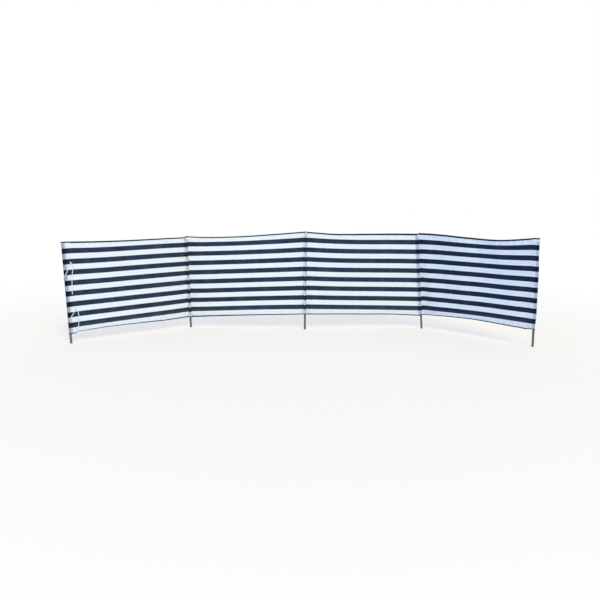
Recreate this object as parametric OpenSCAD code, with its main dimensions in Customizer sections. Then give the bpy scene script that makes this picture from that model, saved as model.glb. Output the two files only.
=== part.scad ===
// Beach windbreak: one striped cloth in four bays on five planted wooden poles.
// Millimetres, +Z up. The origin is the centre of the middle pole's foot, at ground level.
// +X runs along the windbreak to the right, and -Y is the side it is seen from.
// Each pole stands in a cloth tunnel that is sewn shut at its top.

/* [Poles] */
// Diameter of a pole
pole_d = 20; // [16:1:30]
// Height of the taper at a pole's top
pole_taper_h = 12; // [6:1:16]
// Length of the first pole between the ground and the cloth
foot_1_h = 85; // [40:1:300]
// Length of the second pole between the ground and the cloth
foot_2_h = 104; // [40:1:300]
// Length of the middle pole between the ground and the cloth
foot_3_h = 151; // [40:1:300]
// Length of the fourth pole between the ground and the cloth
foot_4_h = 135; // [40:1:300]
// Length of the fifth pole between the ground and the cloth
foot_5_h = 157; // [40:1:300]

/* [Layout] */
// Distance between two neighbouring poles at half the cloth's height
bay_w = 1135; // [800:5:1500]
// Direction of the first bay in plan, in degrees from +X
bay_1_angle = 35.25; // [-60:0.25:60]
// Direction of the second bay in plan, in degrees from +X
bay_2_angle = 0; // [-60:0.5:60]
// Direction of the third bay in plan, in degrees from +X
bay_3_angle = 6.5; // [-60:0.5:60]
// Direction of the fourth bay in plan, in degrees from +X
bay_4_angle = -40.25; // [-60:0.25:60]
// Lean of the first pole along X, in degrees
lean_1_x_angle = -1.8; // [-8:0.1:8]
// Lean of the second pole along X, in degrees
lean_2_x_angle = -1; // [-8:0.1:8]
// Lean of the fourth pole along X, in degrees
lean_4_x_angle = -4.3; // [-8:0.1:8]
// Lean of the fifth pole along X, in degrees
lean_5_x_angle = -1.7; // [-8:0.1:8]
// Lean of the second pole along Y, in degrees
lean_2_y_angle = -4.4; // [-8:0.1:8]
// Lean of the fourth pole along Y, in degrees
lean_4_y_angle = 3.4; // [-8:0.1:8]
// Lean of the fifth pole along Y, in degrees
lean_5_y_angle = -0.8; // [-8:0.1:8]

/* [Cloth] */
// Height of the cloth from edge to edge
cloth_h = 800; // [600:5:1200]
// Thickness of the cloth
cloth_t = 2; // [1:0.5:3]
// Dip of the top edge in the first bay
sag_1_h = 6; // [0:1:40]
// Dip of the top edge in the second bay
sag_2_h = 18; // [0:1:40]
// Dip of the top edge in the third bay
sag_3_h = 13; // [0:1:40]
// Dip of the top edge in the fourth bay
sag_4_h = 27; // [0:1:40]
// Rise of the bottom edge in the middle of the first bay
hem_rise_1_h = 5; // [0:1:30]
// Rise of the bottom edge in the middle of the second bay
hem_rise_2_h = 9; // [0:1:30]
// Rise of the bottom edge in the middle of the third bay
hem_rise_3_h = 1; // [0:1:30]
// Rise of the bottom edge in the middle of the fourth bay
hem_rise_4_h = 14; // [0:1:30]
// Depth to which the cloth of the second bay bellies out to the back
belly_2_depth = 12; // [0:1:50]
// Depth to which the cloth of the third bay bellies out to the back
belly_3_depth = 12; // [0:1:50]
// Depth to which the cloth of the fourth bay bellies out to the back
belly_4_depth = 34; // [0:1:50]

/* [Tunnels] */
// Distance from a pole's axis to the seam of an inner tunnel, behind the pole
tuck_reach = 20; // [18:1:40]
// Distance from a pole's axis to the seam of an end tunnel, along its bay
end_reach = 55; // [30:1:80]
// Distance from a pole's axis to the outer end of an end tunnel's gathered lip
end_lip_reach = 13; // [10:1:20]
// Height over which a tunnel narrows to its closed top
closing_h = 24; // [22:1:60]
// Height of the flat closed lip at a tunnel's top
lip_h = 12; // [10:1:24]

/* [Binding] */
// Width of the binding tape on the cloth's edges
binding_w = 10; // [6:1:16]
// Thickness of the binding tape
binding_t = 1.5; // [0.5:0.25:2.5]

/* [Ties] */
// Width of a tie tape
tie_w = 6; // [4:1:14]
// Thickness of a tie tape
tie_t = 1.2; // [0.8:0.1:2]

/* [Hidden] */
$fn = 64;
// Space between a pole and the cloth around it
tunnel_gap = 0.3;
// Space between a tunnel's seam and the end of a bay's cloth
seam_gap = 0.6;
// Space between the binding tape and the cloth it is folded over
binding_gap = 0.3;
// Length of cloth at a bay's end that the binding leaves bare
binding_inset = 8;
// Width of the slit left between the two layers at a tunnel's closed top
slit_w = 0.4;
// How much slimmer a pole's end is than the narrowing cloth around it
taper_relief = 1;
// Length by which a cut runs past what it cuts
overrun = 20;

pole_r = pole_d / 2;
drop_in_r = pole_r + tunnel_gap;
drop_out_r = drop_in_r + cloth_t;
pole_end_r = pole_r * (1 - pole_taper_h / closing_h) - taper_relief;
foot_hs = [foot_1_h, foot_2_h, foot_3_h, foot_4_h, foot_5_h];
bay_angles = [bay_1_angle, bay_2_angle, bay_3_angle, bay_4_angle];
lean_x_angles = [lean_1_x_angle, lean_2_x_angle, 0, lean_4_x_angle, lean_5_x_angle];
lean_y_angles = [0, lean_2_y_angle, 0, lean_4_y_angle, lean_5_y_angle];
sag_hs = [sag_1_h, sag_2_h, sag_3_h, sag_4_h];
hem_rise_hs = [hem_rise_1_h, hem_rise_2_h, hem_rise_3_h, hem_rise_4_h];
belly_depths = [0, belly_2_depth, belly_3_depth, belly_4_depth];
binding_out_w = cloth_t + 2 * (binding_gap + binding_t);
// Share of a bay's belly that its taut edges follow
edge_belly_share = 0.5;
// Where along each bay its top edge dips most, as a share of the bay
sag_shares = [0.5, 0.38, 0.5, 0.6];
// Heights of the rows of points on a bay's cloth, as shares of its height
row_shares = [0, 0.2, 0.45, 0.65, 0.8, 0.9, 0.96, 1];
// How fast the dip of an edge dies away from it
dip_power = 6;
// Steps along a bay's cloth
bay_steps = 24;
// Steps round a tunnel, an even number
arc_steps = 36;
// Sides of a tie tape's section
tie_sides = 8;

// Routes of the tie tapes' tails beside the first pole: distance along the bay, distance out to the
// viewer's side, height along the pole, and the way the flat side faces, in degrees from the viewer's side.
upper_front_route = [
    [54, 4, 705, 0], [61, 6, 695, 0], [66, 8, 675, 0], [64, 8, 645, 0], [57, 8, 605, 0],
    [52, 8, 565, 0], [48, 8, 525, 0], [45, 8, 480, 0], [43, 8, 430, 0]
];
upper_back_route = [
    [53, 2.4, 702, 0], [42, 6, 680, 5], [20, 12, 640, 15], [4, 15, 612, 20], [-9, 12, 592, 55],
    [-15, 1, 578, 95], [-11, -11, 562, 140], [-4, -15, 536, 180], [-2, -16, 500, 180], [-2, -16, 440, 180]
];
lower_front_route = [
    [63, 4, 302, 0], [71, 6, 292, 0], [78, 8, 272, 0], [81, 8, 240, 0], [80, 8, 205, 0],
    [75, 8, 170, 0], [69, 8, 135, 0], [63, 8, 96, 0]
];
lower_back_route = [
    [62, 2.4, 300, 0], [46, 6, 272, 5], [22, 12, 242, 15], [4, 15, 222, 20], [-9, 12, 206, 55],
    [-15, 1, 194, 95], [-11, -11, 180, 140], [-4, -15, 158, 180], [-2, -16, 130, 180], [-2, -16, 96, 180]
];

wood_colour = [0.55, 0.49, 0.37];
cloth_colour = [0.90, 0.93, 0.97];
binding_colour = [0.10, 0.13, 0.22];
tie_colour = [0.95, 0.96, 0.97];

// Places in the frame
function heading(a) = [cos(a), sin(a)];
function lean_dir(i) = let (v = [tan(lean_x_angles[i]), tan(lean_y_angles[i]), 1]) v / norm(v);
function plan_mid(i) = i == 2 ? [0, 0]
    : i < 2 ? plan_mid(i + 1) - bay_w * heading(bay_angles[i])
    : plan_mid(i - 1) + bay_w * heading(bay_angles[i - 1]);
function foot(i) =
    let (d = lean_dir(i), p = plan_mid(i), m = foot_hs[i] + cloth_h / 2)
    [p.x - d.x * m, p.y - d.y * m, 0];
// A point beside pole i: a plan offset from its axis, at height z along the pole
function at(i, p, z) =
    let (d = lean_dir(i), k = (d.x * p.x + d.y * p.y) / (1 + d.z))
    foot(i) + [p.x - d.x * k + d.x * z, p.y - d.y * k + d.y * z, d.z * z - d.x * p.x - d.y * p.y];
function is_end(i) = i == 0 || i == 4;
function seam_reach(i) = is_end(i) ? end_reach : tuck_reach;
// Plan direction from pole i's axis to its tunnel's seam
function seam_angle(i) = i == 0 ? bay_angles[0]
    : i == 4 ? bay_angles[3] + 180
    : (bay_angles[i - 1] + bay_angles[i]) / 2 + 90;
function cloth_top(i) = foot_hs[i] + cloth_h;
function lip_z(i) = cloth_top(i) - lip_h;
function closing_z(i) = lip_z(i) - closing_h;
function turned(p, a) = [p.x * cos(a) - p.y * sin(a), p.x * sin(a) + p.y * cos(a)];

// Tunnel sections, seam first: round a pole, and pressed flat
function drop_turns(r, reach) =
    let (a0 = acos(r / reach))
    [for (k = [0 : arc_steps]) a0 + (360 - 2 * a0) * k / arc_steps];
function drop_ring(r, reach) =
    concat([[reach, 0]], [for (a = drop_turns(r, reach)) [r * cos(a), -r * sin(a)]]);
function flat_length(r, reach) =
    let (a0 = acos(r / reach))
    sqrt(reach * reach - r * r) + r * (180 - a0) * PI / 180;
function flat_ring(r, reach, long, half_t) =
    let (a0 = acos(r / reach), side = sqrt(reach * reach - r * r), kept_share = long / flat_length(r, reach))
    concat([[reach, 0]], [
        for (k = [0 : arc_steps])
            let (a = a0 + (360 - 2 * a0) * k / arc_steps)
            let (near = min(a, 360 - a), s = side + r * (near - a0) * PI / 180)
            [reach - s * kept_share, 2 * k == arc_steps ? 0 : 2 * k < arc_steps ? -half_t : half_t]
    ]);
// Length of the flat lip of tunnel i. The wide lips of the end tunnels are gathered.
function lip_length(i) = is_end(i) ? end_reach + end_lip_reach : flat_length(drop_out_r, tuck_reach);
function ring_at(i, ring, z) = [for (p = ring) at(i, turned(p, seam_angle(i)), z)];
function ring_caps() =
    let (m = arc_steps + 2, h = m / 2)
    concat([[0, 1, m - 1]], [for (k = [1 : h - 2]) [k, k + 1, m - k - 1, m - k]], [[h - 1, h, h + 1]]);
function tunnel_rings(i) =
    let (reach = seam_reach(i), long = lip_length(i), in_share = drop_in_r / drop_out_r)
    let (out = drop_ring(drop_out_r, reach), in = drop_ring(drop_in_r, reach * in_share))
    let (out_flat = flat_ring(drop_out_r, reach, long, cloth_t))
    let (in_flat = flat_ring(drop_in_r, reach * in_share, long * in_share, slit_w / 2))
    [
        ring_at(i, in_flat, lip_z(i) - cloth_t), ring_at(i, in, closing_z(i)), ring_at(i, in, foot_hs[i]),
        ring_at(i, out, foot_hs[i]), ring_at(i, out, closing_z(i)), ring_at(i, out_flat, lip_z(i)),
        ring_at(i, out_flat, cloth_top(i))
    ];

// Half the width of an inner tunnel at the face of the bays' cloth that is nearest the pole
function tuck_half_w() =
    let (back = cloth_t * 3 / 2)
    back * drop_out_r / sqrt(tuck_reach * tuck_reach - drop_out_r * drop_out_r);
// Cloth of bay i between the seams of its two tunnels
function panel_end(i, side) =
    let (a = seam_angle(i), out = heading(a))
    is_end(i) ? out * (end_reach + seam_gap)
    : out * (tuck_reach - cloth_t) + side * (tuck_half_w() + seam_gap) * [sin(a), -cos(a)];
function dip(i, u) = sin(180 * pow(u, ln(0.5) / ln(sag_shares[i])));
function belly(i, u, v) =
    let (a = bay_angles[i], share = edge_belly_share + (1 - edge_belly_share) * sin(180 * v))
    belly_depths[i] * sin(180 * u) * share * [-sin(a), cos(a), 0];
function panel_point(i, u, v) =
    let (a = at(i, panel_end(i, 1), foot_hs[i] + v * cloth_h))
    let (b = at(i + 1, panel_end(i + 1, -1), foot_hs[i + 1] + v * cloth_h))
    a * (1 - u) + b * u + belly(i, u, v)
    + [0, 0, hem_rise_hs[i] * sin(180 * u) * pow(1 - v, dip_power)]
    - [0, 0, sag_hs[i] * dip(i, u) * pow(v, dip_power)];
function panel_normal(i) =
    let (c = cross(lean_dir(i) + lean_dir(i + 1), panel_point(i, 1, 0.5) - panel_point(i, 0, 0.5)))
    c / norm(c);
function panel_loop(i, u) =
    let (h = panel_normal(i) * cloth_t / 2, n = len(row_shares))
    concat(
        [for (k = [0 : n - 1]) panel_point(i, u, row_shares[k]) - h],
        [for (k = [n - 1 : -1 : 0]) panel_point(i, u, row_shares[k]) + h]
    );
function panel_caps() =
    let (m = 2 * len(row_shares))
    [for (k = [0 : m / 2 - 2]) [k, k + 1, m - 2 - k, m - 1 - k]];

// Binding tape folded over an edge: v is 1 on the top edge and 0 on the bottom edge
function binding_section() =
    let (w = binding_out_w / 2, in = w - binding_t, c = binding_gap + binding_t, h = binding_w - c)
    [[-w, -h], [-w, c], [w, c], [w, -h], [in, -h], [in, binding_gap], [-in, binding_gap], [-in, -h]];
function edge_point(i, u, v) =
    let (k = min(floor(u * bay_steps), bay_steps - 1), f = u * bay_steps - k)
    panel_point(i, k / bay_steps, v) * (1 - f) + panel_point(i, (k + 1) / bay_steps, v) * f;
function edge_up(i, u, v) =
    let (next_share = v == 1 ? row_shares[len(row_shares) - 2] : row_shares[1])
    let (d = edge_point(i, u, max(v, next_share)) - edge_point(i, u, min(v, next_share)))
    d / norm(d);
function binding_loop(i, u, v) =
    let (p = edge_point(i, u, v), n = panel_normal(i), up = edge_up(i, u, v))
    let (s = binding_section(), m = len(s))
    v == 1 ? [for (q = s) p + n * q.x + up * q.y]
    : [for (k = [m - 1 : -1 : 0]) p + n * s[k].x - up * s[k].y];
function binding_loops(i, v) =
    let (e = binding_inset / norm(panel_point(i, 1, v) - panel_point(i, 0, v)))
    [for (k = [0 : bay_steps]) binding_loop(i, min(max(k / bay_steps, e), 1 - e), v)];
function binding_caps() = [[0, 1, 6, 7], [1, 2, 5, 6], [2, 3, 4, 5]];

// Flat tape along a route beside the first pole
function spot(r) = at(0, turned([r[0], -r[1]], seam_angle(0)), r[2]);
function way(route, k) =
    let (d = spot(route[min(k + 1, len(route) - 1)]) - spot(route[max(k - 1, 0)]))
    d / norm(d);
function facing(r) = let (p = turned([-sin(r[3]), -cos(r[3])], seam_angle(0))) [p.x, p.y, 0];
function tape_loop(route, k) =
    let (t = way(route, k), c = cross(facing(route[k]), t), w = c / norm(c), n = cross(t, w))
    [
        for (s = [0 : tie_sides - 1])
            let (a = -360 * (s + 0.5) / tie_sides, grow = 1 / cos(180 / tie_sides))
            spot(route[k]) + w * cos(a) * grow * tie_w / 2 + n * sin(a) * grow * tie_t / 2
    ];
function tape_caps() = [[0, 1, 2, 3], [0, 3, 4, 7], [4, 5, 6, 7]];

// A closed solid through a list of loops, with the end loops closed by the given faces
module loft(loops, caps) {
    m = len(loops[0]);
    n = len(loops);
    points = [for (l = loops) each l];
    sides = [
        for (j = [0 : n - 2], k = [0 : m - 1])
            let (a = j * m + k, b = j * m + (k + 1) % m)
            each [[a, b, b + m], [a, b + m, a + m]]
    ];
    first = [for (c = caps) [for (k = [len(c) - 1 : -1 : 0]) c[k]]];
    last = [for (c = caps) [for (k = c) k + (n - 1) * m]];
    polyhedron(points, concat(sides, first, last), convexity = 10);
}

// Puts what is drawn upright at the origin onto pole i's foot, along its lean
module on_pole(i) {
    d = lean_dir(i);
    az = atan2(d.y, d.x);
    translate(foot(i))
        rotate([0, acos(d.z), az])
            rotate([0, 0, -az])
                children();
}

module pole(i) {
    cut_half = pole_d + overrun;
    difference() {
        on_pole(i) {
            translate([0, 0, -overrun])
                cylinder(r = pole_r, h = closing_z(i) + overrun);
            translate([0, 0, closing_z(i)])
                cylinder(r1 = pole_r, r2 = pole_end_r, h = pole_taper_h);
        }
        translate(foot(i) - [cut_half, cut_half, 2 * overrun])
            cube([2 * cut_half, 2 * cut_half, 2 * overrun]);
    }
}

module tunnel(i) {
    loft(tunnel_rings(i), ring_caps());
}

// Binding over the closed lip of a tunnel
module tunnel_cap(i) {
    reach = seam_reach(i);
    long = lip_length(i);
    lip_half = cloth_t + binding_gap;
    out_half = lip_half + binding_t;
    on_pole(i)
        rotate([0, 0, seam_angle(i)])
            translate([reach - long - binding_gap - binding_t, 0, cloth_top(i) + binding_gap + binding_t])
                difference() {
                    translate([0, -out_half, -binding_w])
                        cube([long - binding_inset, 2 * out_half, binding_w]);
                    translate([binding_t, -lip_half, -binding_w - overrun])
                        cube([long + overrun, 2 * lip_half, binding_w - binding_t + overrun]);
                }
}

module drop_2d(r, reach) {
    polygon(drop_ring(r, reach));
}

// Binding round the open foot of a tunnel
module tunnel_hem(i) {
    reach = seam_reach(i);
    in_r = drop_out_r + binding_gap;
    out_r = in_r + binding_t;
    on_pole(i)
        rotate([0, 0, seam_angle(i)])
            translate([0, 0, foot_hs[i] - binding_gap - binding_t])
                difference() {
                    linear_extrude(height = binding_w)
                        drop_2d(out_r, reach * out_r / drop_out_r);
                    translate([0, 0, binding_t])
                        linear_extrude(height = binding_w)
                            drop_2d(in_r, reach * in_r / drop_out_r);
                    translate([0, 0, -overrun])
                        linear_extrude(height = binding_w + overrun)
                            drop_2d(drop_in_r, reach * drop_in_r / drop_out_r);
                    translate([reach - binding_inset, -reach, -overrun])
                        cube([reach, 2 * reach, binding_w + 2 * overrun]);
                }
}

module panel(i) {
    loft([for (k = [0 : bay_steps]) panel_loop(i, k / bay_steps)], panel_caps());
}

module top_binding(i) {
    loft(binding_loops(i, 1), binding_caps());
}

module bottom_binding(i) {
    loft(binding_loops(i, 0), binding_caps());
}

module tape(route) {
    loft([for (k = [0 : len(route) - 1]) tape_loop(route, k)], tape_caps());
}

module pole_1() {
    color(wood_colour)
        pole(0);
}

module pole_2() {
    color(wood_colour)
        pole(1);
}

module pole_3() {
    color(wood_colour)
        pole(2);
}

module pole_4() {
    color(wood_colour)
        pole(3);
}

module pole_5() {
    color(wood_colour)
        pole(4);
}

module tunnel_1() {
    color(cloth_colour)
        tunnel(0);
}

module tunnel_2() {
    color(cloth_colour)
        tunnel(1);
}

module tunnel_3() {
    color(cloth_colour)
        tunnel(2);
}

module tunnel_4() {
    color(cloth_colour)
        tunnel(3);
}

module tunnel_5() {
    color(cloth_colour)
        tunnel(4);
}

module tunnel_cap_1() {
    color(binding_colour)
        tunnel_cap(0);
}

module tunnel_cap_2() {
    color(binding_colour)
        tunnel_cap(1);
}

module tunnel_cap_3() {
    color(binding_colour)
        tunnel_cap(2);
}

module tunnel_cap_4() {
    color(binding_colour)
        tunnel_cap(3);
}

module tunnel_cap_5() {
    color(binding_colour)
        tunnel_cap(4);
}

module tunnel_hem_1() {
    color(binding_colour)
        tunnel_hem(0);
}

module tunnel_hem_2() {
    color(binding_colour)
        tunnel_hem(1);
}

module tunnel_hem_3() {
    color(binding_colour)
        tunnel_hem(2);
}

module tunnel_hem_4() {
    color(binding_colour)
        tunnel_hem(3);
}

module tunnel_hem_5() {
    color(binding_colour)
        tunnel_hem(4);
}

module panel_1() {
    color(cloth_colour)
        panel(0);
}

module panel_2() {
    color(cloth_colour)
        panel(1);
}

module panel_3() {
    color(cloth_colour)
        panel(2);
}

module panel_4() {
    color(cloth_colour)
        panel(3);
}

module top_binding_1() {
    color(binding_colour)
        top_binding(0);
}

module top_binding_2() {
    color(binding_colour)
        top_binding(1);
}

module top_binding_3() {
    color(binding_colour)
        top_binding(2);
}

module top_binding_4() {
    color(binding_colour)
        top_binding(3);
}

module bottom_binding_1() {
    color(binding_colour)
        bottom_binding(0);
}

module bottom_binding_2() {
    color(binding_colour)
        bottom_binding(1);
}

module bottom_binding_3() {
    color(binding_colour)
        bottom_binding(2);
}

module bottom_binding_4() {
    color(binding_colour)
        bottom_binding(3);
}

module upper_tie_front() {
    color(tie_colour)
        tape(upper_front_route);
}

module upper_tie_back() {
    color(tie_colour)
        tape(upper_back_route);
}

module lower_tie_front() {
    color(tie_colour)
        tape(lower_front_route);
}

module lower_tie_back() {
    color(tie_colour)
        tape(lower_back_route);
}

pole_1();
pole_2();
pole_3();
pole_4();
pole_5();
tunnel_1();
tunnel_2();
tunnel_3();
tunnel_4();
tunnel_5();
tunnel_cap_1();
tunnel_cap_2();
tunnel_cap_3();
tunnel_cap_4();
tunnel_cap_5();
tunnel_hem_1();
tunnel_hem_2();
tunnel_hem_3();
tunnel_hem_4();
tunnel_hem_5();
panel_1();
panel_2();
panel_3();
panel_4();
top_binding_1();
top_binding_2();
top_binding_3();
top_binding_4();
bottom_binding_1();
bottom_binding_2();
bottom_binding_3();
bottom_binding_4();
upper_tie_front();
upper_tie_back();
lower_tie_front();
lower_tie_back();
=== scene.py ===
import math

import bpy
import numpy as np
from mathutils import Matrix, Vector


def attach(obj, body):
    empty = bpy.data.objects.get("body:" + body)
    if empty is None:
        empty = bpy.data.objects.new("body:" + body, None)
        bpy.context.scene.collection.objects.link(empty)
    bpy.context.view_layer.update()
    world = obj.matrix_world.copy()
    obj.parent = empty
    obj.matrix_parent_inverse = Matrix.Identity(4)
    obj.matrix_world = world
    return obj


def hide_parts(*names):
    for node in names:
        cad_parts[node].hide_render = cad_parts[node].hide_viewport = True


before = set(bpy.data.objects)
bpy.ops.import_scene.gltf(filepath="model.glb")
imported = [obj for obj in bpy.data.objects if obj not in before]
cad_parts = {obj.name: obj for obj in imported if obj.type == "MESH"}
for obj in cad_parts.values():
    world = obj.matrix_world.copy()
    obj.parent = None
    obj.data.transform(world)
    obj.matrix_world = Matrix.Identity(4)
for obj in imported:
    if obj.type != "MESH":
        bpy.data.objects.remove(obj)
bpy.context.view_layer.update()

# Sizes in metres and angles in degrees. These are the same as in the solids
foot_hs = (0.085, 0.104, 0.151, 0.135, 0.157)
bay_w = 1.135
bay_angles = (35.25, 0, 6.5, -40.25)
lean_x_angles = (-1.8, -1, 0, -4.3, -1.7)
lean_y_angles = (0, -4.4, 0, 3.4, -0.8)
cloth_h = 0.800
sag_hs = (0.006, 0.018, 0.013, 0.027)
sag_shares = (0.5, 0.38, 0.5, 0.6)
hem_rise_hs = (0.005, 0.009, 0.001, 0.014)
belly_depths = (0, 0.012, 0.012, 0.034)
edge_belly_share = 0.5
dip_power = 6
closing_h = 0.024
lip_h = 0.012
pole_taper_h = 0.012
tie_w = 0.006

# How far each bay's cloth has slipped up its poles at the top and bottom edges, how much its stripes
# have risen between the poles near those edges, and how uneven the edges are cut along the bay
left_slip = ((-0.003, 0.0015), (-0.0025, 0.0035), (0.0, -0.0015), (0.003, -0.0025))
right_slip = ((-0.011, 0.0035), (0.001, -0.005), (-0.001, -0.010), (-0.0045, -0.0005))
inner_rise = ((0.0015, 0), (-0.006, 0.0045), (-0.006, -0.0045), (-0.0055, 0.0055))
top_skew = (-0.0025, 0.0005, -0.003, 0.0035)
cut_stations = (0, 0.25, 0.5, 0.75, 1)
top_cut = ((0.002, 0.0025, -0.0005, -0.002, -0.001), (0.0005, -0.003, -0.0025, 0.0005, 0.0015),
           (0.0015, -0.001, 0.0065, 0.008, 0.006), (0.0085, 0.010, 0.008, 0.002, 0.002))
bottom_cut = ((0.0085, 0.0105, 0.0035, -0.0055, -0.0035), (-0.007, -0.005, -0.006, -0.0045, -0.0015),
              (-0.0035, -0.001, 0.0005, 0.0055, -0.002), (0.001, 0.0065, 0.007, -0.001, -0.006))
cut_depth = 0.056

# Each bay's soft waves and finer creases, with how fast they turn across and up it, the slack that
# settles, whether painted shade deepens its dark stripes and greys its white ones, and how far its
# seams pucker
bay_wave, bay_wave_turns = (0.004, 0.004, 0.004, 0.006), (12.0, 5.0)
bay_crease, bay_crease_turns = (0.0010, 0.0008, 0.0008, 0.0016), (40.0, 3.0)
bay_slack = (0.0018, 0.0020, 0.0020, 0.0022)
settle_frames = 36
bay_navy_painted_shade = (0, 0, 0, 1)
bay_white_painted_shade = (1, 0, 1, 1)
bay_pucker = 0.022

# Gathers along the sewn edges and seams: their height and spacing, how far in from an edge they keep
# that height, and over what length they fade
gather_h = 0.0021
gather_pitch = 0.055
gather_tape = 0.016
gather_fade = 0.026

# Cloth and folded tapes: thickness, the air between layers, the legs at a bay's left and right ends and
# at each pole, how uneven and loose a leg's edge is, the section, and how far the fold stands off
cloth_t = 0.0008
tape_t = 0.0005
sliver = 0.0001
top_legs = ((0.0125, 0.0095), (0.0090, 0.0110), (0.0110, 0.0160), (0.0160, 0.0125))
bottom_legs = ((0.0035, 0.0095), (0.0115, 0.0070), (0.0085, 0.0080), (0.0065, 0.0085))
cap_legs = (0.0095, 0.0095, 0.0035, 0.0055, 0.0095)
hem_leg = 0.0070
leg_uneven, leg_uneven_turns = 0.0003, 130.0
leg_loose, leg_loose_turns = 0.0003, 90.0
tape_section = ((1, 1), (0.6, 1), (0.15, 1), (-0.03, 0.75), (-0.07, 0), (-0.03, -0.75),
                (0.15, -1), (0.6, -1), (1, -1))
fold_share = 0.6

# Where the bindings stop beside each pole's seam, and the share of that for the tunnel's own hem
seam_insets = (0.001, 0.005, 0.005, 0.005, 0.001)
hem_inset_share = 0.8

# Tunnels: the sleeve round the pole, its seam, its lip, and where the bays' cloth turns into the seam
sleeve_r = 0.0110
tuck_reach = 0.0185
end_reach = 0.0545
end_gap = 0.0556
tuck_gap = (0.0185, 0.0016)
end_turn = 0.0025
tuck_turns = ((0.0184, 0.0009), (0.0178, 0.0006), (0.0169, 0.0009))
foot_flare, foot_flare_h = 0.0012, 0.016
lip_out = 0.0200
end_lip_out = 0.0125
lip_rises = (0, 0, 0.007, 0.002, 0)
lip_round = 0.0012
tunnel_pucker = 0.020
sway, sway_turns = 0.0009, (70.0, 9.0)
lip_gather, lip_gather_turns = 0.0010, 60.0

# A cap runs a little past its lip's tip, where it is pinched, and folds over it to a small depth
cap_past = (0.0012, 0.0003)
cap_pinch = 0.35
cap_depth = 0.004

# The folded corner of the second tunnel's lip: its crease, from and to, its turn and the bend's radius
ear_pole = 1
ear_from, ear_to = (0.006, 0.0), (-0.020, -0.038)
ear_turn, ear_bend = math.radians(118), 0.005

# How far round from its front or outer fold a tunnel has its pole's painted shadow, seen through the
# cloth, over what width that fades, how dark it is, how far to one side, how far below the top it stops
# and over what height, and how dark the layers of an end tunnel are
shadow_from = (0.016, 0.005, 0.005, 0.005, 0.018)
shadow_fade = (0.036, 0.005, 0.005, 0.005, 0.016)
shadow_share = (1.0, 0.8, 0.8, 0.8, 0.75)
shadow_aside = (0, 0.001, 0.004, 0.002, 0)
taper_down = lip_h + closing_h - pole_taper_h
shadow_down = (0.012, taper_down, taper_down, taper_down, taper_down)
shadow_top_fade = 0.016
layer_share = (0.6, 0, 0, 0, 0.25)

# How far the outer fold of a tunnel hangs loose from its pole, below what height and over what height
# it fades, and how narrow it is
outer_loose = (0, 0, 0, 0, 0.007)
loose_top, loose_fade = 0.66, 0.14
loose_power = 6

# Tie tapes: thickness, the thicker turned end, the cupped section, and where they are sewn on
tie_t = 0.0008
tie_end_extra, tie_end_l, tie_end_fade = 0.9, 0.010, 0.002
tie_cup, tie_cup_turns, tie_cup_level = 0.0006, 55.0, 0.4
tie_section = ((-1, -0.5), (-0.9, -1), (0, -1), (0.9, -1), (1, -0.5),
               (1, 0.5), (0.9, 1), (0, 1), (-0.9, 1), (-1, 0.5))
tie_sewn_half, tie_sewn_up = 0.006, 0.003

# Stitches: their spacing, size and unevenness, and the distances of their rows from an edge or seam
stitch_pitch = 0.0045
stitch_l = 0.0032
thread_d = 0.0005
stitch_sides, stitch_rings = 5, 3
stitch_least, stitch_most, stitch_seed = 0.88, 1.1, 7
stitch_lift = 0.0002
tape_row = 0.0018
end_seam_rows, tuck_seam_rows = (0.004, 0.009), (0.003,)

# Stripes, counted up from the cloth's bottom edge, and how their edges wander and blur
stripe_pitch = 0.0929
navy_w = 0.0456
first_navy_mid = 0.0737
stripe_wander, stripe_blur = 0.0012, 0.0006

# Spacing of the cloth's yarns and of the tapes' twill
yarn_pitch = 0.0013
binding_twill, tie_twill = 0.0016, 0.0018

# First seeds of the uneven forms
wave_seed, crease_seed, gather_seed = 11, 21, 150
top_seed, bottom_seed, cap_seed, hem_seed = 40, 60, 80, 90
sway_seed, lip_seed = 100, 130

# Steps of the meshes
bay_columns, bay_rows = 84, 62
ring_steps = 56
foot_rows_h = 0.03
foot_rows, wall_rows, closing_rows = 6, 46, 15
lip_rows = 3
cap_steps = 22
route_steps, tie_steps = 12, 36
tie_sewn_steps = 8
POLES, BAYS = range(5), range(4)


def plan(angle):
    a = math.radians(angle)
    return np.array((math.cos(a), math.sin(a), 0.0))


def pole_middle(i):
    if i == 2:
        return np.zeros(3)
    if i < 2:
        return pole_middle(i + 1) - bay_w * plan(bay_angles[i])
    return pole_middle(i - 1) + bay_w * plan(bay_angles[i - 1])


def seam_angle(i):
    if i == 0:
        return bay_angles[0]
    if i == 4:
        return bay_angles[3] + 180
    return (bay_angles[i - 1] + bay_angles[i]) / 2 + 90


def pole_place(i):
    """Matrix of pole i: x to its tunnel's seam, z up the pole, origin in its foot."""
    lean_x, lean_y = (math.tan(math.radians(angles[i])) for angles in (lean_x_angles, lean_y_angles))
    lean = Vector((lean_x, lean_y, 1))
    lean.normalize()
    foot = Vector(pole_middle(i)) - lean * (foot_hs[i] + cloth_h / 2)
    foot.z = 0
    upright = Vector((0, 0, 1)).rotation_difference(lean).to_matrix().to_4x4()
    turn = Matrix.Rotation(math.radians(seam_angle(i)), 4, "Z")
    return np.array(Matrix.Translation(foot) @ upright @ turn)


places = [pole_place(i) for i in POLES]


def spots(i, x, y, z):
    """Points beside pole i, from arrays of distances in its own directions."""
    x, y, z = np.broadcast_arrays(x, y, z)
    local = np.stack([x, y, z], -1).astype(float)
    return local @ places[i][:3, :3].T + places[i][:3, 3]


def is_end(i):
    return i in (0, 4)


def smooth(t):
    t = np.clip(t, 0, 1)
    return t * t * (3 - 2 * t)


def unit(a):
    return a / np.maximum(np.linalg.norm(a, axis=-1, keepdims=True), 1e-12)


def run_of(points):
    """How far along a line of points each one lies, from the first."""
    return np.concatenate([[0], np.cumsum(np.linalg.norm(np.diff(points, axis=0), axis=1))])


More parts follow.
